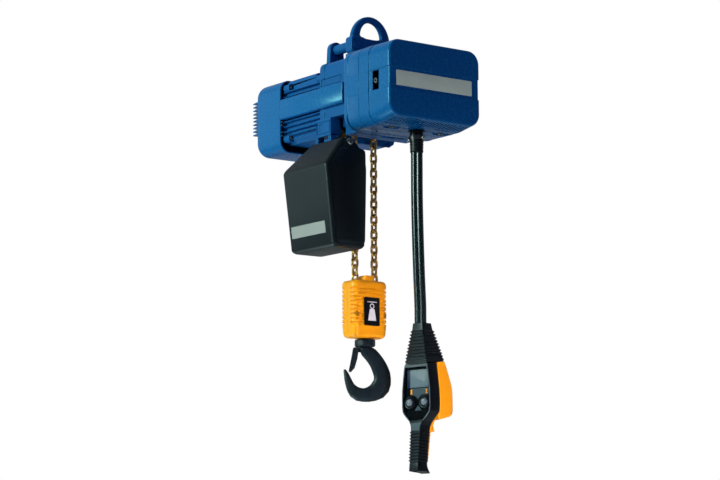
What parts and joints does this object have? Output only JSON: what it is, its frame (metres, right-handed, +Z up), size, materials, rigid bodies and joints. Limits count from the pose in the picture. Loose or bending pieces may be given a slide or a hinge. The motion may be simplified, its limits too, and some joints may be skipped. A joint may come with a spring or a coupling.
{
  "type": "electric chain hoist",
  "caption": "Electric chain hoist hung from an eye, with a two-fall hook block, a chain bucket and a hand-held pendant control on a cable.",
  "frame": {"origin": "seat of the suspension eye: the underside of its crown, at the middle of the eye's width", "axes": "+Z up, +X from the motor towards the front cover, +Y away from the chain bucket's side"},
  "size_m": [0.495, 0.287, 0.953],
  "materials": {
    "blue_paint": "satin blue paint with a fine orange peel",
    "blue_cover": "satin blue moulded cover",
    "yellow_plastic": "satin yellow-orange moulding",
    "black_plastic": "satin black moulding",
    "grey_plastic": "smooth blue-grey display and keys",
    "bucket_plastic": "satin black moulding",
    "hook_steel": "blackened forging with a satin sheen",
    "steel": "machined steel",
    "chain_gold": "yellow-passivated zinc on hardened chain",
    "copper": "lacquered copper winding",
    "rubber": "soft black rubber",
    "board_green": "circuit board",
    "zinc": "bright zinc"
  },
  "bodies": {
    "hoist": {"front_cover": "blue_cover", "gear_housing": "blue_paint", "chain_housing": "blue_paint", "motor_housing": "blue_paint", "end_shield": "blue_paint", "fan_cowl": "blue_cover", "side_duct": "blue_cover", "suspension_bracket": "blue_paint", "suspension_pin_near": "blue_paint", "suspension_pin_far": "blue_paint", "chain_guide": "black_plastic", "chain_anchor": "steel", "bucket_bracket": "blue_paint", "bucket_bolt": "zinc", "chain_bucket": "bucket_plastic", "stored_chain": "chain_gold", "slack_chain": "chain_gold", "control_board": "board_green", "contactor_block": "black_plastic", "cable_gland": "black_plastic", "cable_sleeve": "rubber", "hose_clamp": "zinc", "stator": "copper", "motor_bearing_front": "steel", "motor_bearing_rear": "steel", "output_bearing": "steel", "brake_coil": "copper", "cover_screw_near": "zinc", "cover_screw_far": "zinc"},
    "rotor": {"rotor_shaft": "steel", "rotor_core": "steel", "cooling_fan": "black_plastic", "brake_disc": "black_plastic"},
    "brake": {"brake_armature": "steel"},
    "layshaft": {"intermediate_gear": "steel"},
    "lift_wheel": {"chain_wheel": "steel", "output_gear": "steel"},
    "hook_block": {"block_shell_front": "yellow_plastic", "block_shell_rear": "yellow_plastic", "block_yoke": "steel", "sheave_axle": "steel", "thrust_bearing": "steel", "capacity_plate": "black_plastic", "block_screw_near": "zinc", "block_screw_far": "zinc", "chain_fall_live": "chain_gold", "chain_fall_dead": "chain_gold"},
    "return_sheave": {"sheave": "steel"},
    "swivel_hook": {"hook": "hook_steel", "hook_nut": "steel", "swivel_collar": "hook_steel"},
    "hook_latch": {"latch": "hook_steel"},
    "pendant": {"pendant_cable": "rubber", "bend_sleeve": "rubber", "pendant_front": "black_plastic", "pendant_rear": "yellow_plastic", "face_plate": "grey_plastic", "switch_block": "black_plastic"},
    "left_key": {"knob_left": "zinc"},
    "right_key": {"knob_right": "zinc"}
  },
  "joints": [
    {"name": "rotor_spin", "type": "hinge", "parent": "hoist", "child": "rotor", "pos_m": [-0.122, -0.0096, -0.18], "axis": [1, 0, 0], "range_deg": [0, 32600]},
    {"name": "intermediate_spin", "type": "hinge", "parent": "hoist", "child": "layshaft", "pos_m": [0.067, 0.0534, -0.18], "axis": [1, 0, 0], "continuous": true},
    {"name": "output_spin", "type": "hinge", "parent": "hoist", "child": "lift_wheel", "pos_m": [0.067, -0.0096, -0.18], "axis": [1, 0, 0], "continuous": true},
    {"name": "hook_lift", "type": "slide", "parent": "hoist", "child": "hook_block", "axis": [0, 0, 1], "range_m": [0, 0.27], "deforming": ["chain_fall_live", "chain_fall_dead"]},
    {"name": "sheave_spin", "type": "hinge", "parent": "hook_block", "child": "return_sheave", "pos_m": [-0.009, -0.0096, -0.574], "axis": [1, 0, 0], "continuous": true},
    {"name": "hook_swivel", "type": "hinge", "parent": "hook_block", "child": "swivel_hook", "pos_m": [-0.009, -0.0096, -0.677], "axis": [0, 0, 1], "continuous": true},
    {"name": "latch_hinge", "type": "hinge", "parent": "swivel_hook", "child": "hook_latch", "pos_m": [-0.01839, -0.02206, -0.682], "axis": [0.7986, -0.6018, 0], "range_deg": [0, 38], "stiffness_Nm_per_rad": 0.06, "springref_deg": -22.92},
    {"name": "brake_release", "type": "slide", "parent": "hoist", "child": "brake", "axis": [-1, 0, 0], "range_m": [0, 0.0005], "stiffness_N_per_m": 20000, "springref_m": -0.002},
    {"name": "pendant_swing", "type": "hinge", "parent": "hoist", "child": "pendant", "pos_m": [0.132, 0.018, -0.293], "axis": [1, 0, 0], "range_deg": [-30, 30], "deforming": ["pendant_cable"]},
    {"name": "left_key_tilt", "type": "hinge", "parent": "pendant", "child": "left_key", "pos_m": [0.11661, 0.0137, -0.7984], "axis": [0.9903, 0.1392, 0], "range_deg": [-10, 10], "stiffness_Nm_per_rad": 0.1},
    {"name": "right_key_tilt", "type": "hinge", "parent": "pendant", "child": "right_key", "pos_m": [0.15306, 0.01882, -0.7984], "axis": [0.9903, 0.1392, 0], "range_deg": [-10, 10], "stiffness_Nm_per_rad": 0.1}
  ],
  "couplings": [
    {"joint": "intermediate_spin", "follows": "rotor_spin", "ratio": -0.16667},
    {"joint": "output_spin", "follows": "rotor_spin", "ratio": 0.039216},
    {"joint": "sheave_spin", "follows": "rotor_spin", "ratio": 0.019608},
    {"joint": "hook_lift", "follows": "rotor_spin", "m_per_rad": 0.00047434}
  ]
}
